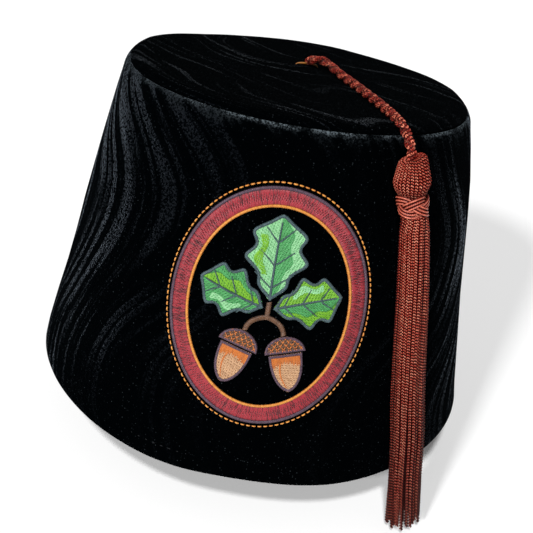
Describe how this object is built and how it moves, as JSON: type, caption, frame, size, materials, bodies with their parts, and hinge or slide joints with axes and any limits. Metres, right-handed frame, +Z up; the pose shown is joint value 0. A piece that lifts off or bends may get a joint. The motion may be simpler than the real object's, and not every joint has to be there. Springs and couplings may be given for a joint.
{
  "type": "fez hat with tassel",
  "caption": "Tapered flat-topped velvet hat with an open rim, a twisted cord and hanging tassel, and an oval embroidered oak emblem in front.",
  "frame": {"origin": "middle of the rim plane, where a head enters the hat", "axes": "+Z up through the crown, -Y towards the front with the emblem, +X towards the wearer's left, where the tassel hangs"},
  "size_m": [0.1962, 0.1962, 0.1668],
  "materials": {
    "black_velvet": "crushed pile",
    "rust_yarn": "soft sheen",
    "gold_brown_thread": "soft sheen",
    "maroon_thread": "silky",
    "light_green_thread": "silky",
    "mid_green_thread": "silky",
    "yellow_green_thread": "silky",
    "tan_thread": "silky",
    "brown_thread": "silky"
  },
  "bodies": {
    "root": {"crown_side": "black_velvet", "crown_top": "black_velvet", "cord": "rust_yarn", "cord_tack": "gold_brown_thread", "tassel": "rust_yarn", "tassel_knot": "rust_yarn", "emblem_ring": "maroon_thread", "emblem_leaf_top": "light_green_thread", "emblem_leaf_left": "mid_green_thread", "emblem_leaf_right": "yellow_green_thread", "emblem_stem": "brown_thread", "emblem_acorn_left": "tan_thread", "emblem_acorn_right": "tan_thread", "emblem_acorn_cap_left": "brown_thread", "emblem_acorn_cap_right": "brown_thread"}
  },
  "joints": []
}
